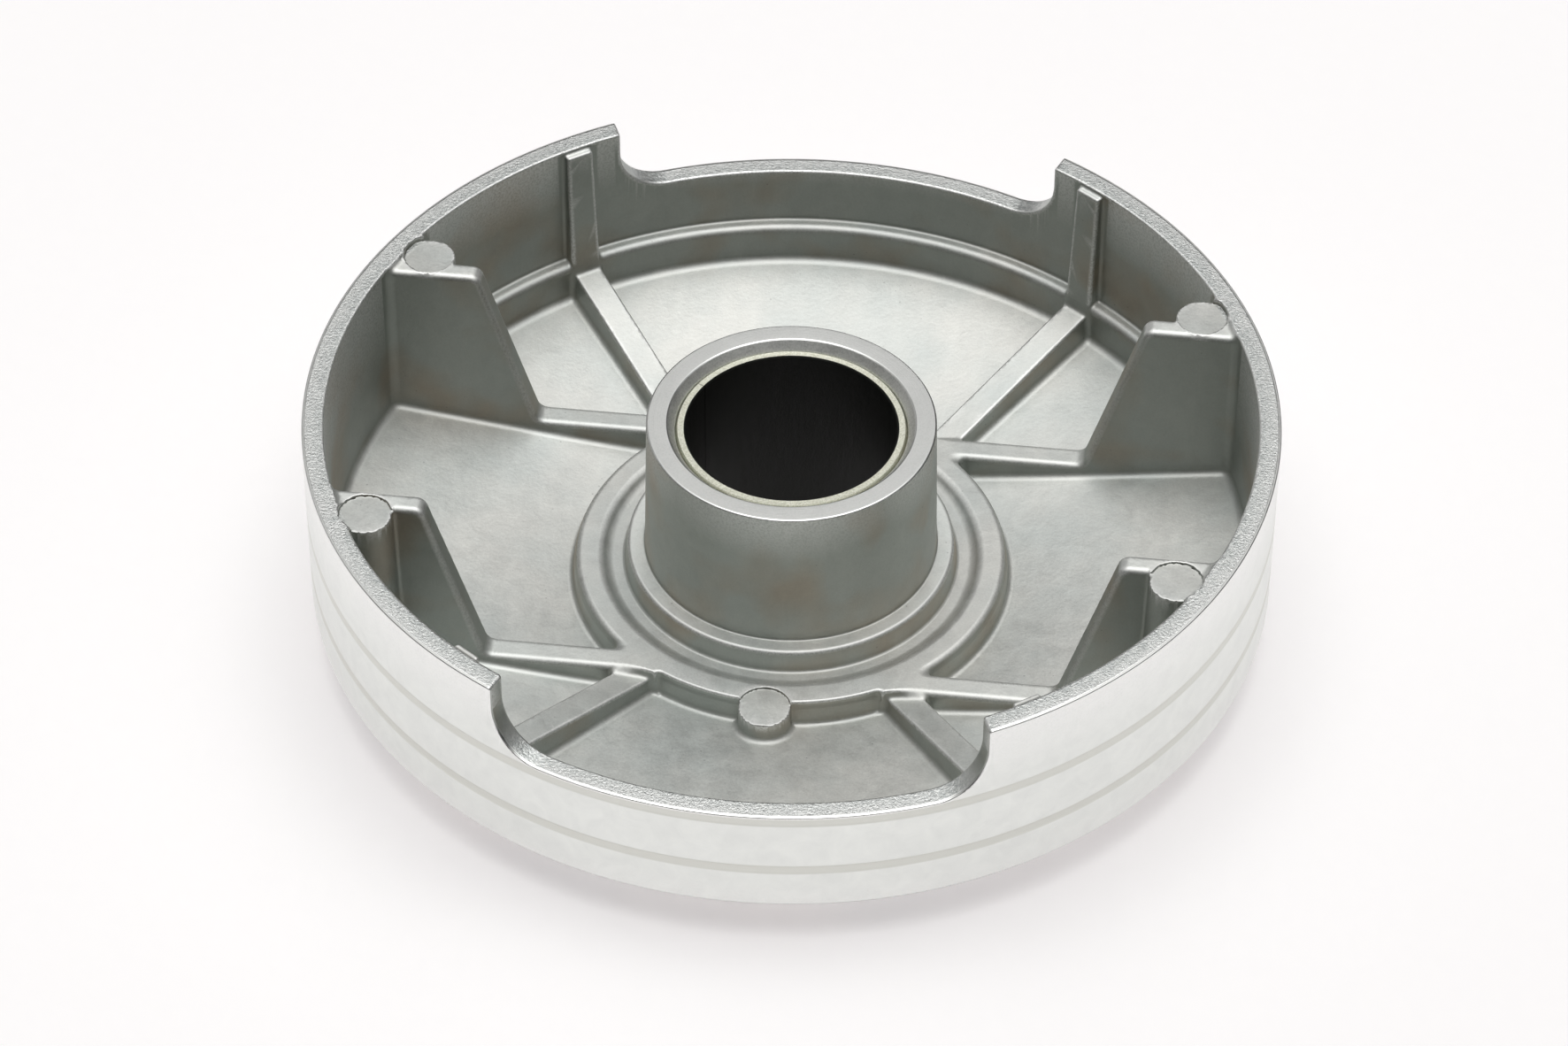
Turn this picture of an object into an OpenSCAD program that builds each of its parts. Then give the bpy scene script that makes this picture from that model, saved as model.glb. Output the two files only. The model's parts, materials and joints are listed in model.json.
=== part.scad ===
// Die-cast aluminium flywheel: an open drum with a dished web, a tall hub,
// gusset ribs, floor ribs and two rim windows. A wrapped plain bush is
// pressed into the hub, and the wheel turns on it around the Z axis.
// The origin lies on that axis, in the plane of the hub's lower face.

/* [Rim] */
// Outer radius of the rim
rim_r = 92; // [88:1:100]
// Thickness of the rim wall at its top
rim_wall = 4.2; // [3.6:0.2:5]
// Height of the rim top above the hub's lower face
rim_top = 46; // [45:0.5:50]
// Height of the rim's lower edge above the hub's lower face
rim_foot = 8.8; // [8.2:0.1:9.4]
// Chamfer on the rim's lower edge
foot_chamfer = 1; // [0.6:0.1:1.4]
// Chamfer on the outer edge of the rim top
lip_chamfer = 0.4; // [0.2:0.1:0.8]
// Depth of the two shallow bands turned into the rim
band_depth = 0.1; // [0.1:0.05:0.4]
// Height of each turned band
band_h = 2.2; // [1.6:0.1:2.8]
// Height of the lower band's lower edge
low_band_z = 16.6; // [14:0.2:19]

/* [Rim windows] */
// Height of the window sill
sill_z = 31.1; // [29:0.1:34]
// Half of the angle that a window spans
window_half = 29.1; // [25:0.1:31]
// Corner radius at the ends of the sill
window_corner = 10; // [6:0.5:12]

/* [Web] */
// Thickness of the dished web, measured along Z
web_t = 4.1; // [3.6:0.1:5]
// Radius of the flat lower face around the hub
base_r = 41; // [38:0.5:43]
// Rise of the web for each millimetre of radius
web_slope = 0.153; // [0.14:0.005:0.165]
// Fillet radius between the web and the rim
web_fillet = 1.6; // [1:0.1:2.2]
// Height of the step inside the rim, front and back
step_z = 18.7; // [16:0.1:21]
// Width of the step inside the rim
step_w = 3; // [2:0.1:4]

/* [Hub] */
// Outer radius of the hub at its top
hub_r = 27.4; // [26.8:0.1:28]
// Height of the hub's top face
hub_top = 43; // [42.6:0.1:44]
// Growth of the hub radius from its top to its foot
hub_draft = 0.6; // [0.3:0.1:0.9]
// Depth of the hub face above the bush
bush_inset = 1.5; // [1.2:0.1:1.8]
// Outer radius of the collar around the hub's foot
collar_r = 31.3; // [30.5:0.1:31.8]
// Height of the collar
collar_z = 12.7; // [12:0.1:13.4]
// Height of the groove floor around the collar
groove_z = 8.2; // [7.8:0.1:8.6]
// Height of the flat ring around the groove
ring_z = 9.6; // [9.4:0.1:10.4]
// Inner radius of the flat ring
ring_in = 36.5; // [36:0.1:37.2]
// Outer radius of the flat ring
ring_out = 41.3; // [40.6:0.1:42]

/* [Bush] */
// Bore radius of the bush
bush_r = 20; // [19.5:0.5:20.5]
// Thickness of the bush wall
bush_wall = 2; // [1.5:0.1:2]
// Thickness of the sliding layer
lining_t = 0.35; // [0.25:0.05:0.5]
// Width of the butt joint where the strip closes
seam_w = 0.12; // [0.08:0.02:0.2]
// Direction of the butt joint
seam_angle = 152; // [100:1:170]

/* [Ribs] */
// Distance of each gusset's middle plane from the XZ plane
gusset_y = 33; // [32:0.5:34]
// Thickness of a gusset at its top
gusset_t = 4.4; // [3.8:0.2:5]
// Extra thickness of a gusset at the web, each side
gusset_draft = 0.5; // [0.2:0.1:0.8]
// Height of the gusset's top below the rim top
gusset_drop = 0.8; // [0.4:0.1:1.4]
// Distance of the gusset's top corner from the YZ plane
gusset_top_x = 64.5; // [60:0.5:68]
// Distance of the slope's foot from the YZ plane
gusset_foot_x = 53.8; // [50:0.5:57]
// Direction of the floor ribs, measured from the Y axis
rib_angle = 35.6; // [34:0.1:37]
// Width of a floor rib at its top
rib_w = 5.7; // [5:0.1:7]
// Extra width of a floor rib at the web, each side
rib_draft = 0.5; // [0.2:0.1:0.8]
// Height of a floor rib above the web, halfway along it
rib_h = 4.4; // [3.8:0.1:5]
// Rise of the rib above the web for each millimetre of radius
rib_slope = 0.058; // [0.04:0.002:0.07]
// Width of the upright rib on the rim wall
post_w = 5.6; // [3.6:0.2:6]
// Depth of the upright rib on the rim wall
post_t = 1.6; // [1.2:0.1:2.4]

/* [Ejector pads] */
// Radius of a pad's top
pad_r = 4.85; // [4.2:0.05:5.4]
// Depth of a pad's face below the top of its gusset or of the ring
pad_sink = 0.5; // [0.3:0.1:0.8]
// Growth of the pad's radius from its top to the web
pad_draft = 0.8; // [0.4:0.1:1.2]
// Distance of the rim pads from the YZ plane
pad_x = 74.9; // [72:0.1:76]
// Distance of the rim pads from the XZ plane
pad_y = 36.8; // [35.5:0.1:37.5]
// Distance of the two ring pads from the axis
ring_pad_y = 42.6; // [41.5:0.1:44]

/* [Hidden] */
$fn = 180;
bore_r = bush_r + bush_wall;
rim_in = rim_r - rim_wall;
hub_foot_r = hub_r + hub_draft;
step_r = rim_in - step_w;
collar_foot_r = collar_r + 1.7;
ring_foot_r = ring_out + 1.4;
web_tilt = atan(web_slope);
// Radius of rounded edges, size of the bevels at the foot of a wall, and depth that
// ribs and bosses are sunk into the metal below them
edge = 0.6;
bevel = 0.5;
root = 2;
arc_steps = 6;
edge_steps = 3;
round_steps = 64;
far = 2 * rim_r;
bush_z0 = bush_inset;
bush_z1 = hub_top - bush_inset;
bush_chamfer = 0.5;
high_band_z = sill_z - band_h - 0.1;
gusset_z = rim_top - gusset_drop;
low_rib_x = 22;
gusset_corner = 1.6;
post_foot_t = step_w + bevel;
bore_chamfer = 1;
groove_run = 1.2;
pad_gap = 0.08;
pad_z = gusset_z - pad_sink;
ring_pad_z = ring_z - pad_sink;

// Height of the web's upper face at radius r
function web_z(r) = web_t + web_slope * max(r - base_r, 0);

// Points of an arc around c, from angle a to angle b
function arc(c, r, a, b, n = arc_steps) =
    [for (i = [0:n]) c + r * [cos(a + (b - a) * i / n), sin(a + (b - a) * i / n)]];

module mirror_x() {
    children();
    mirror([1, 0, 0]) children();
}

module mirror_y() {
    children();
    mirror([0, 1, 0]) children();
}

// Half section of the web, hub and rim, as radius and height
module wheel_section() {
    fillet_r = rim_in - web_fillet;
    polygon(concat(
        [[bore_r, bore_chamfer], [bore_r + bore_chamfer, 0], [base_r, 0]],
        [[rim_r - foot_chamfer, rim_foot - foot_chamfer], [rim_r, rim_foot]],
        band_points(low_band_z),
        band_points(high_band_z),
        [[rim_r, rim_top - lip_chamfer], [rim_r - lip_chamfer, rim_top], [rim_in, rim_top]],
        arc([fillet_r, web_z(fillet_r) + web_fillet / cos(web_tilt)], web_fillet, 0, web_tilt - 90),
        [[ring_foot_r + bevel, web_z(ring_foot_r + bevel)], [ring_foot_r, web_z(ring_foot_r) + bevel]],
        arc([ring_out - edge, ring_z - edge], edge, 0, 90, edge_steps),
        arc([ring_in + edge, ring_z - edge], edge, 90, 180, edge_steps),
        [[ring_in - groove_run, groove_z], [collar_foot_r, groove_z]],
        arc([collar_r - edge, collar_z - edge], edge, 0, 90, edge_steps),
        [[hub_foot_r + bevel, collar_z], [hub_foot_r, collar_z + bevel]],
        [[hub_r, hub_top - lip_chamfer], [hub_r - lip_chamfer, hub_top]],
        [[bore_r + bush_inset, hub_top], [bore_r, bush_z1 - bevel]]
    ));
}

function band_points(z) = [
    [rim_r, z],
    [rim_r - band_depth, z + band_depth],
    [rim_r - band_depth, z + band_h - band_depth],
    [rim_r, z + band_h]
];

// Step inside the rim, between the gussets at the front and at the back
module rim_step() {
    foot_z = web_z(step_r);
    intersection() {
        rotate_extrude()
            polygon([
                [step_r - bevel, foot_z - root],
                [rim_in + root, foot_z - root],
                [rim_in + root, step_z],
                [step_r + bevel, step_z],
                [step_r, step_z - bevel],
                [step_r, foot_z + 2 * bevel],
                [step_r - bevel, foot_z]
            ]);
        mirror_y()
            translate([-far / 2, gusset_y, 0])
                cube([far, far, far]);
    }
}

// Outline of one gusset with the low rib that runs from its foot to the ring
module gusset_outline() {
    slope = atan2(gusset_top_x - gusset_foot_x, gusset_z - ring_z);
    wall_x = sqrt(pow(rim_in + root / 2, 2) - pow(gusset_y + gusset_t, 2));
    corner = [gusset_top_x + gusset_corner, gusset_z - gusset_corner];
    polygon(concat(
        [[low_rib_x, web_t - root / 2], [wall_x, web_z(rim_in) - root], [wall_x, gusset_z]],
        arc(corner, gusset_corner, 90, 180 - slope),
        [[gusset_foot_x + bevel, ring_z + 2 * bevel], [gusset_foot_x - bevel, ring_z]],
        [[low_rib_x, ring_z]]
    ));
}

// Everything behind a plane that leans inwards as it rises
module behind_face(half_foot) {
    lean = atan(gusset_draft / (rim_top - rim_foot));
    translate([-far, half_foot, rim_foot])
        rotate([lean, 0, 0])
            translate([0, -far, -far / 2])
                cube([2 * far, far, far]);
}

// Gusset slab, a little thicker at the web than at its top
module gusset() {
    half_foot = gusset_t / 2 + gusset_draft;
    translate([0, gusset_y, 0])
        intersection() {
            translate([0, gusset_t, 0])
                rotate([90, 0, 0])
                    linear_extrude(2 * gusset_t)
                        gusset_outline();
            behind_face(half_foot);
            mirror([0, 1, 0])
                behind_face(half_foot);
        }
}

// Low rib across the web, from the ring to the rim, rising a little more than the web
module floor_rib() {
    inner = ring_out - root;
    outer = rim_in + root / 2;
    middle = (inner + outer) / 2;
    rise = atan(web_slope + rib_slope);
    depth = rib_h + root;
    rotate([0, 0, rib_angle])
        translate([0, middle, web_z(middle) + rib_h])
            rotate([90 + rise, 0, 0])
                linear_extrude((outer - inner) / cos(rise), center = true)
                    polygon([
                        [-rib_w / 2, 0],
                        [-rib_w / 2 - rib_draft, -depth],
                        [rib_w / 2 + rib_draft, -depth],
                        [rib_w / 2, 0]
                    ]);
}

// Upright rib on the rim wall, above the outer end of a floor rib
module wall_post() {
    rotate([0, 0, rib_angle])
        rotate([90, 0, 90])
            translate([0, 0, -post_w / 2])
                linear_extrude(post_w)
                    polygon([
                        [rim_in + root, web_z(step_r)],
                        [rim_in + root, gusset_z],
                        [rim_in - post_t + edge, gusset_z],
                        [rim_in - post_t, gusset_z - edge],
                        [rim_in - post_foot_t, web_z(step_r)]
                    ]);
}

// Tapered boss under an ejector pad
module boss(z0, z1) {
    translate([0, 0, z0])
        cylinder(h = z1 - z0, r1 = pad_r + pad_draft, r2 = pad_r, $fn = round_steps);
}

// Shallow round recess that an ejector pin leaves above a pad
module pad_recess(z) {
    translate([0, 0, z])
        cylinder(h = rim_top, r = pad_r + pad_gap, $fn = round_steps);
}

// Outline of one end of a window, seen along the cut
module window_outline() {
    middle_x = -0.6 * rim_r;
    polygon(concat(
        [[middle_x, sill_z]],
        arc([0, sill_z + window_corner], window_corner, -90, 0, 2 * arc_steps),
        [[window_corner, far], [middle_x, far]]
    ));
}

// Cuts both windows through the rim wall
module windows() {
    turn = window_half - asin(window_corner / rim_r);
    inner_y = 0.8 * rim_r;
    mirror_y()
        mirror_x()
            rotate([0, 0, -turn])
                translate([0, far, 0])
                    rotate([90, 0, 0])
                        linear_extrude(far - inner_y)
                            window_outline();
}

module casting_solid() {
    rotate_extrude() wheel_section();
    rim_step();
    mirror_x() mirror_y() gusset();
    mirror_x() mirror_y() floor_rib();
    mirror_x() mirror_y() wall_post();
    mirror_x() mirror_y()
        translate([pad_x, pad_y, 0]) boss(web_z(pad_x) - root / 2, pad_z);
    mirror_y()
        translate([0, ring_pad_y, 0]) boss(web_z(ring_pad_y) - root / 2, ring_pad_z);
}

module pad_recesses() {
    mirror_x() mirror_y()
        translate([pad_x, pad_y, 0]) pad_recess(pad_z);
    mirror_y()
        translate([0, ring_pad_y, 0]) pad_recess(ring_pad_z);
}

module flywheel_casting() {
    color("silver")
        difference() {
            casting_solid();
            windows();
            pad_recesses();
        }
}

// One layer of the wrapped bush, open along the butt joint
module bush_layer(r_in, r_out, chamfer_in, chamfer_out) {
    lead_in = 3 * chamfer_out;
    difference() {
        rotate_extrude()
            polygon([
                [r_in, bush_z0 + chamfer_in],
                [r_in + chamfer_in, bush_z0],
                [r_out - chamfer_out, bush_z0],
                [r_out, bush_z0 + lead_in],
                [r_out, bush_z1 - lead_in],
                [r_out - chamfer_out, bush_z1],
                [r_in + chamfer_in, bush_z1],
                [r_in, bush_z1 - chamfer_in]
            ]);
        rotate([0, 0, seam_angle])
            translate([0, -seam_w / 2, 0])
                cube([rim_r, seam_w, rim_top]);
    }
}

module bush_backing() {
    color("darkkhaki")
        bush_layer(bush_r + lining_t, bore_r, 0, bush_chamfer);
}

module bush_lining() {
    color("dimgray")
        bush_layer(bush_r, bush_r + lining_t, lining_t / 2, 0);
}

flywheel_casting();
bush_backing();
bush_lining();
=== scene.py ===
"""Looks of the die-cast flywheel: the casting is rebuilt with its real cast fillets and rounded
edges from a distance field, the wrapped bush keeps its CAD solids, and both get cast, turned
and sintered finishes. Lengths are in millimetres until a mesh is made."""

import json
import math

import bpy
import numpy as np
from mathutils import Matrix, Vector


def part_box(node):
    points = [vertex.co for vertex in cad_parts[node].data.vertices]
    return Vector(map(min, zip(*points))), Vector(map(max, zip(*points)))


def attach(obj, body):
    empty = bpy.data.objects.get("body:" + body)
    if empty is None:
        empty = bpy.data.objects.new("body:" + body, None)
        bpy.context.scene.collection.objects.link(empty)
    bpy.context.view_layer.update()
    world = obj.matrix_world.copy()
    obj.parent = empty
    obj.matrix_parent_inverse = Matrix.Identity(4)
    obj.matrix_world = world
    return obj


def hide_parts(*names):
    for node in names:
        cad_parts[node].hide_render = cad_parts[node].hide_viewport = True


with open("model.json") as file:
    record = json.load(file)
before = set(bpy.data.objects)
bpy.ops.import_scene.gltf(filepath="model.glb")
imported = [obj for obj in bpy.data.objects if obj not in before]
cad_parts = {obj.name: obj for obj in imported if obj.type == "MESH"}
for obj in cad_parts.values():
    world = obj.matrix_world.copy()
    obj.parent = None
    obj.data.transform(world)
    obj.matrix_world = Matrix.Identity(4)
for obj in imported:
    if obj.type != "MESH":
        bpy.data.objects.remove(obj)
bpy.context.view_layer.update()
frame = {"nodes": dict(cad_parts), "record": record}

MM = 0.001

# ---------------------------------------------------------------------------------------
# Sizes of the casting, in mm, in the row frame
# ---------------------------------------------------------------------------------------

_, casting_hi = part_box("flywheel_casting")
_, backing_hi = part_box("bush_backing")
mounts = {m["name"]: m for m in frame["record"]["mounts"]}

RIM_R = casting_hi.x / MM
RIM_TOP = casting_hi.z / MM
RIM_WALL = 4.2
RIM_IN = RIM_R - RIM_WALL
RIM_FOOT = 8.8
FOOT_CHAMFER = 1.0
BAND_DEPTH = 0.1
BAND_RAMP = 0.45
BAND_H = 2.2
SILL_Z = 31.1
BANDS = (16.6, SILL_Z - BAND_H - 0.1)
WINDOW_HALF = math.radians(29.1)
WINDOW_CORNER = 10.0

WEB_T = 4.1
BASE_R = 41.0
WEB_SLOPE = 0.153
STEP_R = RIM_IN - 3.0
STEP_Z = 18.7

HUB_R = 27.4
HUB_TOP = mounts["hub_top_face"]["pos_m"][2] / MM
HUB_DRAFT = 0.6
BORE_R = backing_hi.x / MM
BUSH_TOP = backing_hi.z / MM
COLLAR_R = 31.3
COLLAR_Z = 12.7
GROOVE_Z = 8.2
RING_Z = 9.6
RING_IN = 36.5
RING_OUT = 41.3

GUSSET_Y = 33.0
GUSSET_T = 4.4
GUSSET_DRAFT = 0.5
GUSSET_Z = RIM_TOP - 0.8
GUSSET_TOP_X = 64.5
GUSSET_FOOT_X = 53.8
LOW_RIB_X = 22.0
RIB_ANGLE = math.radians(35.6)
RIB_W = 5.7
RIB_H0 = 3.3
RIB_RISE = 0.058
POST_W = 5.6
POST_T = 1.6
PAD_R = 4.85
PAD_DRAFT = 0.8
PAD_SINK = 0.5
PAD_X = 74.9
PAD_Y = 36.8
RING_PAD_Y = 42.6
PAD_GAP = 0.08

# Drafts in degrees, then fillets and rounded edges of the casting in mm
WALL_DRAFT = 5
COLLAR_DRAFT = 8
POST_DRAFT = 0.6
WEB_FILLET = 1.7
STEP_FILLET = 0.7
STEP_EDGE = 1.6
GUSSET_CORNER = 1.6
GUSSET_BEND = 1.4
LOW_EDGE = 0.45
EDGE_GROWTH = 0.75
RIB_RING_FILLET = 2.2
PAD_FILLET = 1.0
RING_PAD_FILLET = 0.8
GROOVE_RUN = 1.5
GROOVE_EDGE = 0.6
GROOVE_FILLET = 0.6
SMALL_EDGE = 0.5
COLLAR_EDGE = 0.7
COLLAR_FILLET = 0.6
HUB_EDGE = 0.35
HUB_FILLET = 0.4
STACK_FILLET = 1.4
RIB_FILLET = 1.3
POST_FILLET = 0.7
POST_EDGE = 0.6
WINDOW_EDGE = 0.6
TOP_EDGE = 0.35
PAD_EDGE = 0.12
UNDER_EDGE = 0.4
OUTER_EDGE = 0.3
LEAD_IN = 1
CLEAR = 2


# ---------------------------------------------------------------------------------------
# Distance field of the casting
# ---------------------------------------------------------------------------------------


def joined(a, b, fillet):
    """Union of two fields with a concave fillet of that radius between them."""
    u = np.maximum(fillet - a, 0)
    v = np.maximum(fillet - b, 0)
    return np.maximum(fillet, np.minimum(a, b)) - np.sqrt(u * u + v * v)


def common(a, b, edge):
    """Intersection of two fields, with its convex edge rounded to that radius."""
    u = np.maximum(edge + a, 0)
    v = np.maximum(edge + b, 0)
    return np.minimum(-edge, np.maximum(a, b)) + np.sqrt(u * u + v * v)


def plane(x, z, x0, z0, x1, z1):
    """Signed distance to the line from one point to another, positive on its left."""
    dx, dz = x1 - x0, z1 - z0
    return (dx * (z - z0) - dz * (x - x0)) / math.hypot(dx, dz)


def drafted(distance, z, z_top, degrees):
    """A wall that leans outwards below z_top."""
    lean = math.radians(degrees)
    return (distance - (z_top - z) * math.tan(lean)) * math.cos(lean)


def boss(x, y, z, cx, cy, top):
    """Tapered side of the round boss under an ejector pad whose face is near top."""
    taper = PAD_DRAFT / (GUSSET_Z - WEB_T)
    return np.hypot(x - cx, y - cy) - PAD_R - (top - z) * taper


def wheel_field(x, y, z):
    """Distance to the casting's surface, negative inside, for x and y of any sign."""
    x, y = np.abs(x), np.abs(y)
    r = np.hypot(x, y)

    web = (z - WEB_T - WEB_SLOPE * np.maximum(r - BASE_R, 0)) * math.cos(math.atan(WEB_SLOPE))
    step = np.maximum(common(STEP_R - r, z - STEP_Z, STEP_EDGE), GUSSET_Y - y)
    wall = joined(RIM_IN - r, step, STEP_FILLET)
    drum = joined(web, wall, WEB_FILLET)

    # Flat ring, with four low ribs that run out of it and climb into the gussets
    ring_side = drafted(r - RING_OUT, z, RING_Z, WALL_DRAFT)
    gusset_half = GUSSET_T / 2 + GUSSET_DRAFT * (GUSSET_Z - z) / (GUSSET_Z - RIM_FOOT)
    gusset_side = np.maximum(np.abs(y - GUSSET_Y) - gusset_half, LOW_RIB_X - x)
    slope = plane(x, z, GUSSET_FOOT_X, RING_Z, GUSSET_TOP_X, GUSSET_Z)
    profile = joined(common(slope, z - GUSSET_Z, GUSSET_CORNER), z - RING_Z, GUSSET_BEND)
    edge = LOW_EDGE + EDGE_GROWTH * np.clip((x - LOW_RIB_X) / PAD_R, 0, 1)
    low = common(joined(ring_side, gusset_side, RIB_RING_FILLET), profile, edge)
    low = joined(low, boss(x, y, z, PAD_X, PAD_Y, GUSSET_Z), PAD_FILLET)
    low = np.maximum(low, z - GUSSET_Z)
    groove_wall = plane(r, z, RING_IN - GROOVE_RUN, GROOVE_Z, RING_IN, RING_Z)
    groove_wall = np.minimum(groove_wall, RING_OUT - CLEAR - r)
    low = common(low, groove_wall, GROOVE_EDGE)
    low = joined(low, boss(x, y, z, 0, RING_PAD_Y, RING_Z), RING_PAD_FILLET)
    above_ring_pad = np.maximum(np.hypot(x, y - RING_PAD_Y) - PAD_R - CLEAR, RING_Z - z)
    low = np.maximum(low, -above_ring_pad)

    # Groove floor, collar and hub
    stack = joined(low, common(ring_side, z - GROOVE_Z, SMALL_EDGE), GROOVE_FILLET)
    collar = common(drafted(r - COLLAR_R, z, COLLAR_Z, COLLAR_DRAFT), z - COLLAR_Z, COLLAR_EDGE)
    stack = joined(stack, collar, COLLAR_FILLET)
    hub_side = r - HUB_R - HUB_DRAFT * (HUB_TOP - z) / (HUB_TOP - COLLAR_Z)
    stack = joined(stack, common(hub_side, z - HUB_TOP, HUB_EDGE), HUB_FILLET)
    cast = joined(drum, stack, STACK_FILLET)

    # Floor ribs and the upright ribs at their outer ends
    along = x * math.sin(RIB_ANGLE) + y * math.cos(RIB_ANGLE)
    across = np.abs(x * math.cos(RIB_ANGLE) - y * math.sin(RIB_ANGLE))
    crest = WEB_T + RIB_H0 + (WEB_SLOPE + RIB_RISE) * (along - BASE_R)
    rib = common(drafted(across - RIB_W / 2, z, crest, WALL_DRAFT), z - crest, SMALL_EDGE)
    rib = np.maximum(rib, RING_OUT - CLEAR - along)
    post_front = plane(along, z, STEP_R - 0.4, BASE_R / 4, RIM_IN - POST_T, GUSSET_Z)
    post = common(drafted(across - POST_W / 2, z, GUSSET_Z, POST_DRAFT), post_front, POST_EDGE)
    post = np.maximum(common(post, z - GUSSET_Z, SMALL_EDGE), RING_OUT - along)
    cast = joined(cast, rib, RIB_FILLET)
    cast = joined(cast, post, POST_FILLET)

    # Rim top, windows and pad recesses
    cast = common(cast, z - RIM_TOP, TOP_EDGE)
    turn = WINDOW_HALF - math.asin(WINDOW_CORNER / RIM_R)
    beside = x * math.cos(turn) - y * math.sin(turn)
    beyond = x * math.sin(turn) + y * math.cos(turn)
    window = common(beside - WINDOW_CORNER, SILL_Z - z, WINDOW_CORNER)
    window = np.maximum(window, 0.8 * RIM_R - beyond)
    cast = common(cast, -window, WINDOW_EDGE)
    for cx, cy, top in ((PAD_X, PAD_Y, GUSSET_Z), (0, RING_PAD_Y, RING_Z)):
        recess = np.maximum(np.hypot(x - cx, y - cy) - PAD_R - PAD_GAP, top - PAD_SINK - z)
        cast = common(cast, -recess, PAD_EDGE)

    # Underside, turned outer wall and bore
    under = np.maximum(-z, plane(r, z, RIM_R - FOOT_CHAMFER, RIM_FOOT - FOOT_CHAMFER, BASE_R, 0))
    cast = common(cast, under, UNDER_EDGE)
    band = 0
    for low_z in BANDS:
        inside = np.minimum(z - low_z, low_z + BAND_H - z) / BAND_RAMP
        band = band + BAND_DEPTH * np.clip(inside, 0, 1)
    foot = plane(r, z, RIM_R, RIM_FOOT, RIM_R - FOOT_CHAMFER, RIM_FOOT - FOOT_CHAMFER)
    cast = common(cast, np.maximum(r - RIM_R + band, foot), OUTER_EDGE)
    bore = common(BORE_R - r, plane(r, z, BORE_R, BUSH_TOP - 0.4, BORE_R + 1.5, HUB_TOP), 0.1)
    bore = np.maximum(bore, plane(r, z, BORE_R + LEAD_IN, 0, BORE_R, LEAD_IN))
    return common(cast, bore, 0.15)


def gradient(points, step=0.02):
    """Slope of the field at the points; it points outwards."""
    parts = []
    for axis in range(3):
        shift = np.zeros(3)
        shift[axis] = step
        ahead, behind = points + shift, points - shift
        parts.append(wheel_field(*ahead.T) - wheel_field(*behind.T))
    slope = np.stack(parts, 1) / (2 * step)
    return slope


def bend(points, reach):
    """How convex the surface is near each point: 1 on a sharp edge, -1 in a tight corner."""
    total = -6 * wheel_field(*points.T)
    for axis in range(3):
        for side in (-reach, reach):
            shift = np.zeros(3)
            shift[axis] = side
            total += wheel_field(*(points + shift).T)
    return np.clip(total / reach, -1, 1)


def settle(points, rounds=3):
    """Moves points onto the surface of the field."""
    for _ in range(rounds):
        slope = gradient(points)
        size = np.maximum((slope * slope).sum(1), 0.25)
        points = points - np.clip(wheel_field(*points.T), -0.4, 0.4)[:, None] * slope / size[:, None]
    return points


# ---------------------------------------------------------------------------------------
# From the field to a mesh: surface nets on a polar grid over one quadrant
# ---------------------------------------------------------------------------------------


QUARTER_TRIANGLES = 46000
SEAM_BORDER = 0.02


def graded(stops):
    """Grid lines from (position, spacing up to the next position) pairs."""
    lines = []
    for (start, spacing), (end, _) in zip(stops, stops[1:]):
        count = max(1, round((end - start) / spacing))
        lines.append(np.linspace(start, end, count, endpoint=False))
    lines.append(np.array([stops[-1][0]]))
    return np.concatenate(lines)


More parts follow.
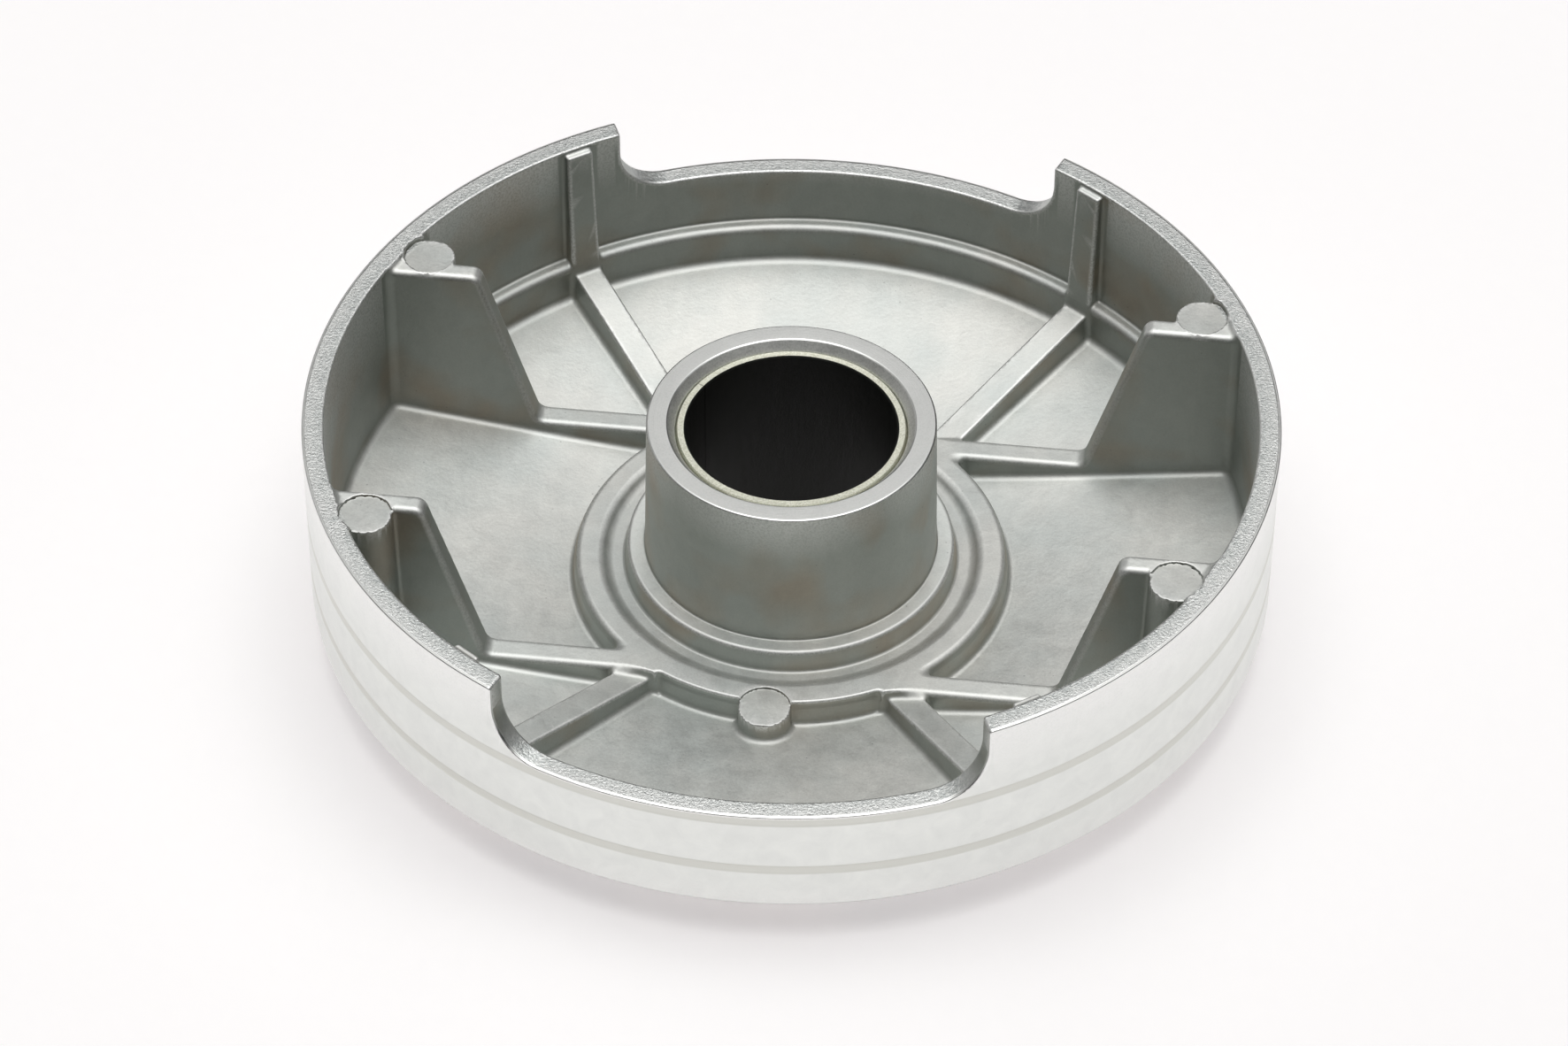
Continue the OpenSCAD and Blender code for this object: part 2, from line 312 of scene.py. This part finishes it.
def quadrant(coarse):
    """Vertices and quads of the casting's surface between +X and +Y."""
    turns = int(210 / coarse)
    theta = (np.arange(turns + 2) - 0.5) * (math.pi / 2 / turns)
    r_lines = graded([
        (BORE_R - 0.9, 0.3), (BORE_R + 2, 0.5 * coarse),
        (HUB_R - 0.6, 0.3), (HUB_R + 1.4, 0.5 * coarse),
        (COLLAR_R - 1.2, 0.3), (COLLAR_R + 2, 0.5 * coarse),
        (RING_IN - 1.7, 0.3), (RING_IN + 0.7, 0.5 * coarse),
        (RING_OUT - 1, 0.35), (RING_OUT + 2.4, 0.6 * coarse),
        (STEP_R - 1.6, 0.35), (RIM_IN + 0.8, 0.5 * coarse),
        (RIM_R - 1.2, 0.25), (RIM_R + 0.6, 0.5),
    ])
    z_lines = graded([
        (-0.7, 0.3), (1.3, 0.6 * coarse),
        (RIM_FOOT - 1.6, 0.35), (RING_Z + 0.6, 0.5 * coarse),
        (COLLAR_Z - 1.1, 0.35), (COLLAR_Z + 1, 0.5 * coarse),
        (BANDS[0] - 0.3, 0.25), (STEP_Z + 0.4, 0.6 * coarse),
        (STEP_Z + 2.2, 0.9 * coarse), (BANDS[1] - 0.3, 0.25), (SILL_Z + 0.5, 0.8 * coarse),
        (HUB_TOP - 2.2, 0.3), (HUB_TOP + 0.3, 0.3), (RIM_TOP + 0.7, 0.5),
    ])
    tt, rr, zz = np.meshgrid(theta, r_lines, z_lines, indexing="ij")
    f = wheel_field(rr * np.cos(tt), rr * np.sin(tt), zz)
    inside = f < 0

    corners = [f[a:a + turns + 1, b:b + len(r_lines) - 1, c:c + len(z_lines) - 1]
               for a in (0, 1) for b in (0, 1) for c in (0, 1)]
    count = sum((c < 0).astype(np.int8) for c in corners)
    cells = np.argwhere((count > 0) & (count < 8))
    number = np.full(count.shape, -1, np.int64)
    number[tuple(cells.T)] = np.arange(len(cells))

    # Each vertex is the mean of the points where its cell's edges cross the surface
    offsets = np.array([(a, b, c) for a in (0, 1) for b in (0, 1) for c in (0, 1)])
    value = f[tuple((cells[:, None, :] + offsets[None]).transpose(2, 0, 1))]
    total = np.zeros((len(cells), 3))
    hits = np.zeros(len(cells))
    for i in range(8):
        for j in range(i + 1, 8):
            if np.abs(offsets[i] - offsets[j]).sum() != 1:
                continue
            a, b = value[:, i], value[:, j]
            cross = (a < 0) != (b < 0)
            part = np.where(cross, a / np.where(cross, a - b, 1), 0)
            spot = offsets[i] + part[:, None] * (offsets[j] - offsets[i])
            total += np.where(cross[:, None], spot, 0)
            hits += cross
    local = total / hits[:, None]
    grid = []
    for axis, lines in enumerate((theta, r_lines, z_lines)):
        low = lines[cells[:, axis]]
        grid.append(low + local[:, axis] * (lines[cells[:, axis] + 1] - low))
    angle, radius, height = grid
    angle = np.where(cells[:, 0] == 0, 0, np.where(cells[:, 0] == turns, math.pi / 2, angle))
    verts = np.stack([radius * np.cos(angle), radius * np.sin(angle), height], 1)

    # One quad for each grid edge that crosses the surface, between its four cells
    quads = []
    steps = np.eye(3, dtype=int)
    for axis in range(3):
        p, q = [k for k in range(3) if k != axis]
        ahead = [slice(None)] * 3
        behind = [slice(None)] * 3
        ahead[axis], behind[axis] = slice(1, None), slice(None, -1)
        start, end = inside[tuple(behind)], inside[tuple(ahead)]
        edges = np.argwhere(start != end)
        inner = np.ones(len(edges), bool)
        for k in (p, q):
            inner &= (edges[:, k] > 0) & (edges[:, k] < f.shape[k] - 1)
        edges = edges[inner]
        around = [edges - steps[p] - steps[q], edges - steps[q], edges, edges - steps[p]]
        quad = np.stack([number[tuple(c.T)] for c in around], 1)
        outward = start[tuple(edges.T)] ^ (axis == 1)
        quad[outward] = quad[outward][:, ::-1]
        quads.append(quad[(quad >= 0).all(1)])
    return verts, np.concatenate(quads)


def mesh_from(name, verts, faces):
    mesh = bpy.data.meshes.new(name)
    sides = faces.shape[1]
    mesh.vertices.add(len(verts))
    mesh.vertices.foreach_set("co", np.asarray(verts, np.float32).ravel())
    mesh.loops.add(faces.size)
    mesh.loops.foreach_set("vertex_index", faces.ravel().astype(np.int32))
    mesh.polygons.add(len(faces))
    mesh.polygons.foreach_set("loop_start", np.arange(0, faces.size, sides, dtype=np.int32))
    mesh.update(calc_edges=True)
    return mesh


def add_values(mesh, name, values):
    layer = mesh.attributes.new(name, "FLOAT", "POINT")
    layer.data.foreach_set("value", values.astype(np.float32))


def thinned(verts, faces, target):
    """The same surface with about target triangles, fewer on flat areas."""
    mesh = mesh_from("draft", verts, faces)
    draft = bpy.data.objects.new("draft", mesh)
    bpy.context.scene.collection.objects.link(draft)
    thin = draft.modifiers.new("thin", "DECIMATE")
    thin.ratio = min(1.0, target / (2 * len(faces)))
    thin.use_collapse_triangulate = True
    result = bpy.data.meshes.new_from_object(draft.evaluated_get(bpy.context.evaluated_depsgraph_get()))
    co = np.zeros(len(result.vertices) * 3, np.float32)
    result.vertices.foreach_get("co", co)
    loops = np.zeros(len(result.loops), np.int32)
    result.loops.foreach_get("vertex_index", loops)
    bpy.data.objects.remove(draft)
    bpy.data.meshes.remove(mesh)
    bpy.data.meshes.remove(result)
    return co.reshape(-1, 3).astype(float), loops.reshape(-1, 3)


def mirrored(verts, faces, axis):
    """Adds the mirror image across a coordinate plane, sharing the vertices on that plane."""
    on_plane = verts[:, axis] == 0
    twin = np.where(on_plane, np.arange(len(verts)), 0)
    twin[~on_plane] = len(verts) + np.arange((~on_plane).sum())
    other = verts[~on_plane].copy()
    other[:, axis] *= -1
    return np.concatenate([verts, other]), np.concatenate([faces, twin[faces][:, ::-1]])


def casting_mesh():
    verts, faces = quadrant(1.0)
    verts = settle(verts)
    verts, faces = thinned(verts, faces, QUARTER_TRIANGLES)
    for axis in (0, 1):
        verts[np.abs(verts[:, axis]) < SEAM_BORDER, axis] = 0
    for axis in (0, 1):
        verts, faces = mirrored(verts, faces, axis)
    flat = (verts[:, 0] == 0) | (verts[:, 1] == 0)
    verts = np.where(flat[:, None], verts, settle(verts, 2))
    slope = gradient(verts)
    normals = slope / np.linalg.norm(slope, axis=1)[:, None]
    mesh = mesh_from("casting", verts * MM, faces)
    mesh.shade_smooth()
    mesh.normals_split_custom_set_from_vertices(normals.astype(np.float32))
    add_values(mesh, "bend", bend(verts, 0.7))
    return mesh


# ---------------------------------------------------------------------------------------
# Finishes
# ---------------------------------------------------------------------------------------


class Graph:
    """A shader node tree, with short calls for its nodes."""

    def __init__(self, tree):
        self.tree = tree

    def put(self, socket, value):
        if isinstance(value, bpy.types.NodeSocket):
            self.tree.links.new(value, socket)
        elif isinstance(value, (tuple, list)) and len(value) == 3 and socket.type == "RGBA":
            socket.default_value = (*value, 1)
        else:
            socket.default_value = value

    def node(self, kind, inputs=(), out=0, **settings):
        new = self.tree.nodes.new("ShaderNode" + kind)
        for key, value in settings.items():
            setattr(new, key, value)
        for key, value in dict(inputs).items():
            self.put(new.inputs[key], value)
        return new.outputs[out]

    def math(self, operation, a, b=0.0, clamp=False):
        return self.node("Math", {0: a, 1: b}, operation=operation, use_clamp=clamp)

    def noise(self, vector, scale, detail=2.0, rough=0.5, distortion=0.0):
        return self.node("TexNoise", {"Vector": vector, "Scale": scale, "Detail": detail,
                                      "Roughness": rough, "Distortion": distortion})

    def span(self, value, low, high, to_low=0.0, to_high=1.0):
        return self.node("MapRange", {"Value": value, "From Min": low, "From Max": high,
                                      "To Min": to_low, "To Max": to_high}, clamp=True)

    def mix(self, factor, a, b):
        new = self.tree.nodes.new("ShaderNodeMix")
        new.data_type = "RGBA"
        for key, value in ((0, factor), (6, a), (7, b)):
            self.put(new.inputs[key], value)
        return new.outputs[2]

    def blend(self, factor, a, b):
        new = self.tree.nodes.new("ShaderNodeMix")
        for key, value in ((0, factor), (2, a), (3, b)):
            self.put(new.inputs[key], value)
        return new.outputs[0]

    def vector(self, x, y, z):
        return self.node("CombineXYZ", {0: x, 1: y, 2: z})


class Finish(Graph):
    """A procedural material."""

    def __init__(self, name):
        self.material = bpy.data.materials.new(name)
        self.material.use_nodes = True
        super().__init__(self.material.node_tree)
        self.shader = self.tree.nodes["Principled BSDF"]

    def position(self):
        """Position in millimetres, then its x, y, radius and height."""
        at = self.node("TexCoord", out=3)
        at = self.node("VectorMath", {0: at, 1: (1 / MM,) * 3}, operation="MULTIPLY")
        x, y, z = (self.node("SeparateXYZ", {0: at}, out=k) for k in range(3))
        square = self.math("ADD", self.math("MULTIPLY", x, x), self.math("MULTIPLY", y, y))
        radius = self.math("SQRT", square)
        return at, x, y, radius, z

    def bump(self, height, depth):
        return self.node("Bump", {"Height": height, "Distance": depth, "Strength": 1.0})

    def stretched(self, x, y, z, along_x, along_y, along_z):
        """The position scaled by a factor on each axis."""
        scaled = [self.math("MULTIPLY", value, factor)
                  for value, factor in ((x, along_x), (y, along_y), (z, along_z))]
        return self.vector(*scaled)

    def finish(self, **sockets):
        for key, value in sockets.items():
            self.put(self.shader.inputs[key.replace("_", " ")], value)
        return self.material


def casting_finish():
    m = Finish("cast_aluminium")
    at, x, y, radius, z = m.position()
    edge = m.node("Attribute", out=2, attribute_name="bend")
    level = m.node("SeparateXYZ", {0: m.node("NewGeometry", out=1)}, out=2)

    # Where the casting was turned: outer wall, hub face and bore; where the rim top was faced
    outer = m.span(radius, RIM_R - 0.7, RIM_R - 0.45)
    hub_face = m.math("MULTIPLY", m.span(z, HUB_TOP - 0.25, HUB_TOP - 0.1), m.span(radius, HUB_R + 1, HUB_R))
    turned = m.math("MAXIMUM", outer, hub_face)
    on_rim = m.math("MULTIPLY", m.span(radius, RIM_IN - 0.6, RIM_IN), m.span(level, 0.6, 0.9))
    faced = m.math("MULTIPLY", on_rim, m.span(z, SILL_Z - 0.8, SILL_Z - 0.4))
    faced = m.math("MULTIPLY", faced, m.math("SUBTRACT", 1.0, outer), clamp=True)
    bands = 0.0
    for low_z in BANDS:
        top_z = low_z + BAND_H
        above = m.span(z, low_z - 0.05, low_z + 0.2)
        inside = m.math("MULTIPLY", above, m.span(z, top_z + 0.05, top_z - 0.2))
        bands = m.math("MAXIMUM", inside, bands)
    bands = m.math("MULTIPLY", bands, outer)

    # Colour: broad cloudy patches, finer blotches, flow streaks and small dark pits, plus painted shade and
    # painted light on some faces below
    cloud = m.noise(at, 0.045, 3, 0.55)
    blotch = m.noise(at, 0.22, 4, 0.6, 0.6)
    streak = m.noise(m.stretched(x, y, z, 0.25, 0.05, 0.08), 1.0, 4, 0.65, 0.8)
    grain = m.noise(at, 2.4, 2, 0.6)
    upright = m.span(m.math("ABSOLUTE", level), 0.75, 0.35)
    skin = m.mix(m.span(cloud, 0.35, 0.65), (0.68, 0.705, 0.69), (0.76, 0.76, 0.735))
    # Painted shade: upright walls are painted darker, in patches a warmer brown
    warm_painted_shade = m.math("MULTIPLY", upright, m.span(m.noise(at, 0.06, 2, 0.5), 0.48, 0.68))
    skin = m.mix(m.math("MULTIPLY", upright, 0.85), skin, (0.405, 0.43, 0.40))
    skin = m.mix(warm_painted_shade, skin, (0.44, 0.405, 0.345))
    tone = m.math("ADD", m.span(blotch, 0.3, 0.7, 0.93, 1.05), m.span(streak, 0.35, 0.65, -0.02, 0.02))
    # Painted light: floors are painted lighter towards the rim
    painted_floor_light = m.math("MULTIPLY", m.span(radius, 50, 78, -0.04, 0.12), m.math("SUBTRACT", 1.0, upright))
    tone = m.math("ADD", tone, painted_floor_light)
    # Painted light: the collar's top face is painted lighter
    painted_collar_light = m.math("MULTIPLY", m.span(radius, COLLAR_R + 0.5, COLLAR_R), m.span(level, 0.8, 0.95))
    tone = m.math("ADD", tone, m.math("MULTIPLY", painted_collar_light, 0.3))
    # Painted shade: the ejector pad faces, sunk in their recesses, are painted darker
    pad_z = GUSSET_Z - PAD_SINK
    painted_pad_shade = m.math("MULTIPLY", m.span(z, pad_z - 0.2, pad_z - 0.1), m.span(z, pad_z + 0.2, pad_z + 0.1))
    painted_pad_shade = m.math("MULTIPLY", painted_pad_shade, m.span(level, 0.8, 0.95))
    tone = m.math("SUBTRACT", tone, m.math("MULTIPLY", painted_pad_shade, 0.2))
    tone = m.math("ADD", tone, m.span(grain, 0.3, 0.7, -0.05, 0.05))
    pits = m.node("TexVoronoi", {"Vector": at, "Scale": 0.42, "Randomness": 1.0})
    pits = m.math("MULTIPLY", m.span(pits, 0.10, 0.05), m.span(m.noise(at, 0.11, 1), 0.52, 0.6))
    tone = m.math("SUBTRACT", tone, m.math("MULTIPLY", pits, 0.25))
    skin = m.node("VectorMath", {0: skin, 3: tone}, operation="SCALE")
    metal = m.mix(m.span(blotch, 0.3, 0.7), (0.75, 0.765, 0.745), (0.81, 0.825, 0.80))
    metal = m.mix(bands, metal, (0.66, 0.665, 0.625))
    frost = m.mix(m.span(m.noise(at, 1.6, 3, 0.7), 0.4, 0.62), (0.55, 0.575, 0.57), (0.88, 0.895, 0.88))
    colour = m.mix(faced, m.mix(turned, skin, metal), frost)
    # Convex edges are painted lighter: partly rubbed wear, partly painted highlight
    wear_and_highlight = m.span(edge, 0.25, 0.9)
    colour = m.mix(m.math("MULTIPLY", wear_and_highlight, m.span(grain, 0.3, 0.6, 0.3, 0.8)), colour, (0.90, 0.90, 0.89))
    # Painted shade: concave corners and fillets are painted darker
    painted_corner_shade = m.span(edge, -0.25, -0.9)
    colour = m.mix(m.math("MULTIPLY", painted_corner_shade, 0.12), colour, (0.38, 0.37, 0.33))

    # Roughness
    rough = m.math("ADD", m.span(blotch, 0.3, 0.7, 0.54, 0.60), m.span(grain, 0.3, 0.7, -0.03, 0.03))
    rough = m.blend(turned, rough, m.span(m.noise(at, 0.5, 3), 0.3, 0.7, 0.30, 0.36))
    rough = m.blend(faced, rough, m.span(m.noise(at, 1.3, 3), 0.35, 0.65, 0.30, 0.5))

    # Relief: blasted grain and shallow flow marks on the skin, turning lines on the wall
    lines = m.noise(m.stretched(x, y, z, 0.02, 0.02, 5.0), 1.0, 3, 0.7)
    rings = m.noise(m.vector(m.math("MULTIPLY", radius, 4.0), 0.0, 0.0), 1.0, 3, 0.7)
    skin_relief = m.math("MULTIPLY", m.noise(at, 1.1, 3, 0.6), 0.7)
    skin_relief = m.math("ADD", skin_relief, m.math("MULTIPLY", blotch, 0.9))
    turned_relief = m.blend(hub_face, m.math("MULTIPLY", lines, 0.25), m.math("MULTIPLY", rings, 0.5))
    relief = m.blend(turned, skin_relief, turned_relief)
    relief = m.blend(faced, relief, m.math("MULTIPLY", m.noise(at, 2.0, 3, 0.75), 3.0))
    return m.finish(Base_Color=colour, Metallic=1.0, Roughness=rough, Normal=m.bump(relief, 0.05 * MM))


def bush_finish():
    m = Finish("bush_metal")
    at, x, y, radius, z = m.position()
    grain = m.noise(at, 3.0, 3, 0.7)
    colour = m.mix(m.span(grain, 0.35, 0.65), (0.70, 0.70, 0.57), (0.97, 0.97, 0.86))
    glint = m.span(m.noise(at, 5.0, 1), 0.66, 0.74)
    colour = m.mix(glint, colour, (0.9, 0.9, 0.85))
    rough = m.span(m.noise(at, 1.2, 3), 0.3, 0.7, 0.36, 0.52)
    relief = m.noise(at, 2.6, 3, 0.7)
    return m.finish(Base_Color=colour, Metallic=1.0, Roughness=rough, Normal=m.bump(relief, 0.08 * MM))


def lining_finish():
    m = Finish("bush_lining")
    at, x, y, radius, z = m.position()
    axial = m.noise(m.stretched(x, y, z, 1.5, 1.5, 0.12), 1.0, 4, 0.65)
    grain = m.noise(at, 3.5, 3, 0.7)
    mixed = m.math("ADD", m.math("MULTIPLY", axial, 0.7), m.math("MULTIPLY", grain, 0.3))
    # The lining is near black: partly a dark lining, partly painted shade deep in the bore
    colour = m.mix(m.span(mixed, 0.35, 0.65), (0.003, 0.004, 0.003), (0.012, 0.013, 0.010))
    rough = m.span(mixed, 0.35, 0.65, 0.45, 0.6)
    return m.finish(Base_Color=colour, Metallic=0.0, Roughness=rough, Specular_IOR_Level=0.25,
                    Normal=m.bump(grain, 0.03 * MM))


def dress(piece, material):
    piece.data.materials.clear()
    piece.data.materials.append(material)


casting = bpy.data.objects.new("flywheel_body", casting_mesh())
bpy.context.scene.collection.objects.link(casting)
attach(casting, "root")
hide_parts("flywheel_casting")
dress(casting, casting_finish())
dress(frame["nodes"]["bush_backing"], bush_finish())
dress(frame["nodes"]["bush_lining"], lining_finish())

# ---------------------------------------------------------------------------------------
# Floor, light and camera
# ---------------------------------------------------------------------------------------

FLOOR_HALF = 4.0
FLOOR_Z = -0.2 * MM
corners = np.array([(x, y, FLOOR_Z) for x, y in ((-1, -1), (1, -1), (1, 1), (-1, 1))])
corners[:, :2] *= FLOOR_HALF
floor = bpy.data.objects.new("floor", mesh_from("floor", corners, np.array([[0, 1, 2, 3]])))
bpy.context.scene.collection.objects.link(floor)
paper = Finish("paper")
fibre = paper.noise(paper.node("TexCoord", out=3), 300.0, 3)
shade = paper.mix(fibre, (0.91, 0.91, 0.91), (0.94, 0.94, 0.94))
dress(floor, paper.finish(Base_Color=shade, Roughness=0.95,
                          Emission_Color=(1.0, 0.93, 0.96), Emission_Strength=0.27))


def toward(azimuth, elevation):
    """Unit vector to a place round the wheel: azimuth 0 is the viewer's side, 90 the right."""
    a, e = math.radians(azimuth), math.radians(elevation)
    return Vector((math.sin(a) * math.cos(e), -math.cos(a) * math.cos(e), math.sin(e)))


# Soft lights all round: azimuth, elevation and brightness of each
SOFT_LIGHTS = (
    (0, 90, 2.25),
    (180, 64, 1.10),
    (90, 64, 0.75),
    (0, 64, 0.30),
    (-90, 64, 0.50),
    (-120, 12, 0.50),
)
SPREAD = math.radians(34)
world = bpy.data.worlds.new("studio")
bpy.context.scene.world = world
world.use_nodes = True
studio = Graph(world.node_tree)
way = studio.node("TexCoord")
glow = 0.0
for place in SOFT_LIGHTS:
    facing = studio.node("VectorMath", {0: way, 1: toward(*place[:2])}, out=1, operation="DOT_PRODUCT")
    lobe = studio.node("MapRange", {"Value": facing, "From Min": math.cos(SPREAD), "To Max": place[2]},
                       interpolation_type="SMOOTHSTEP")
    glow = studio.math("ADD", lobe, glow)
studio.put(world.node_tree.nodes["Background"].inputs["Color"], (1.0, 1.0, 0.985))
studio.put(world.node_tree.nodes["Background"].inputs["Strength"], glow)

CAMERA_DISTANCE = 1.063
CAMERA_ROLL = math.radians(0.24)
away = toward(6.57, 43.29)
aim = Vector((-0.31, -8.91, 25)) * MM
lens = bpy.data.cameras.new("camera")
lens.sensor_width = 36
lens.lens = 128.9
camera = bpy.data.objects.new("camera", lens)
bpy.context.scene.collection.objects.link(camera)
camera.matrix_world = (Matrix.Translation(aim + away * CAMERA_DISTANCE)
                       @ away.to_track_quat("Z", "Y").to_matrix().to_4x4()
                       @ Matrix.Rotation(CAMERA_ROLL, 4, "Z"))
bpy.context.scene.camera = camera
bpy.context.scene.view_settings.view_transform = "Standard"
